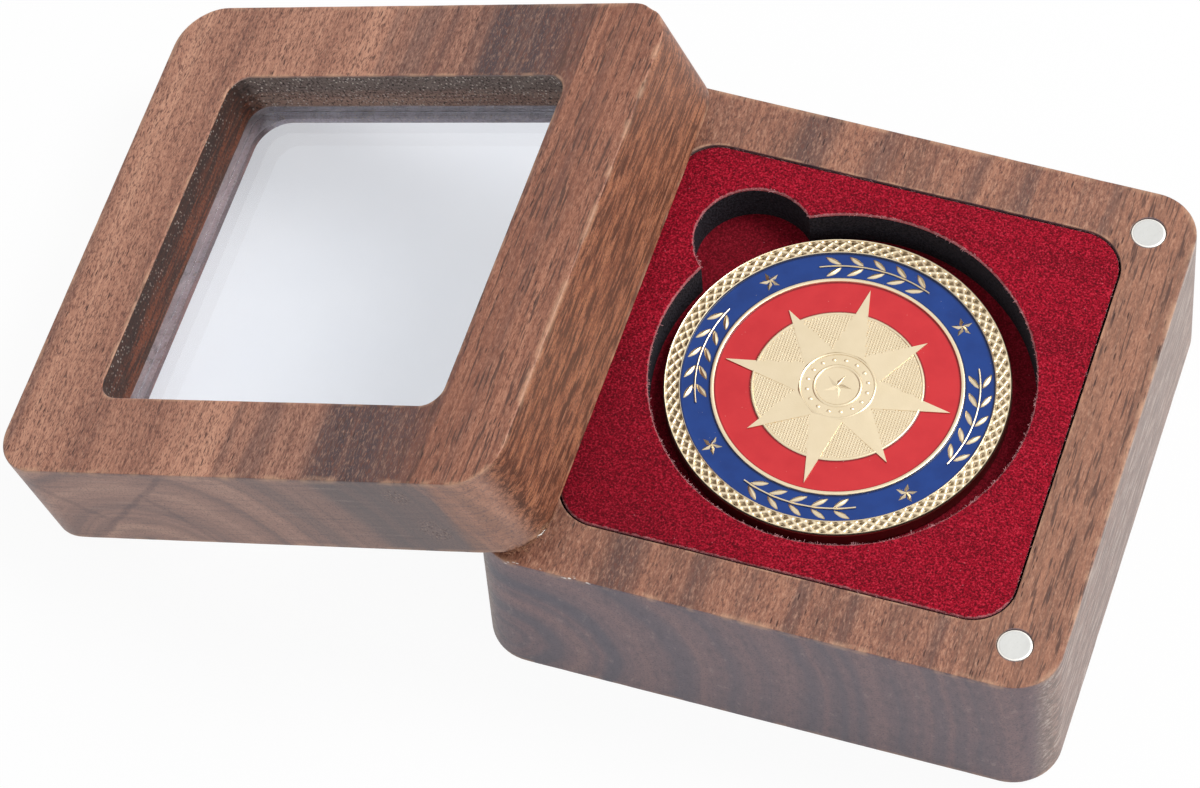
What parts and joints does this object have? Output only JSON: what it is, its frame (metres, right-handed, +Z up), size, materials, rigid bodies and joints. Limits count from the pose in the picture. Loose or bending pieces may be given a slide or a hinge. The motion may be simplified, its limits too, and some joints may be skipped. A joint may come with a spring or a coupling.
{
  "type": "coin display case",
  "caption": "Square walnut coin case: base with a velvet pocket and corner magnets, loose lid with a clear window leaning on its side, and an enamelled coin.",
  "frame": {"origin": "centre of the base block's flat underside", "axes": "+Z up, +X from the leaning lid towards the base, +Y towards the thumb notch's side of the base"},
  "size_m": [0.1588, 0.0856, 0.048],
  "materials": {
    "walnut_base": "satin",
    "walnut_lid": "satin",
    "black_foam": "matte",
    "red_velvet": "matte",
    "dark_velvet": "matte",
    "nickel": "satin",
    "clear_pane": "gloss",
    "gold_plate": "satin",
    "blue_enamel": "gloss",
    "red_enamel": "gloss"
  },
  "bodies": {
    "base": {"base_block": "walnut_base", "foam_insert": "black_foam", "top_velvet": "red_velvet", "floor_velvet": "dark_velvet", "base_magnet_front_left": "nickel", "base_magnet_front_right": "nickel", "base_magnet_back_left": "nickel", "base_magnet_back_right": "nickel"},
    "lid": {"lid_frame": "walnut_lid", "window_pane": "clear_pane", "lid_magnet_front_left": "nickel", "lid_magnet_front_right": "nickel", "lid_magnet_back_left": "nickel", "lid_magnet_back_right": "nickel"},
    "coin": {"coin_blank": "gold_plate", "coin_blue_enamel": "blue_enamel", "coin_red_enamel": "red_enamel"}
  },
  "joints": [
    {"name": "lid_lift", "type": "slide", "parent": "base", "child": "lid", "axis": [0, 0, 1], "range_m": [0, 0.06]},
    {"name": "coin_lift", "type": "slide", "parent": "base", "child": "coin", "axis": [0, 0, 1], "range_m": [0, 0.04]}
  ]
}
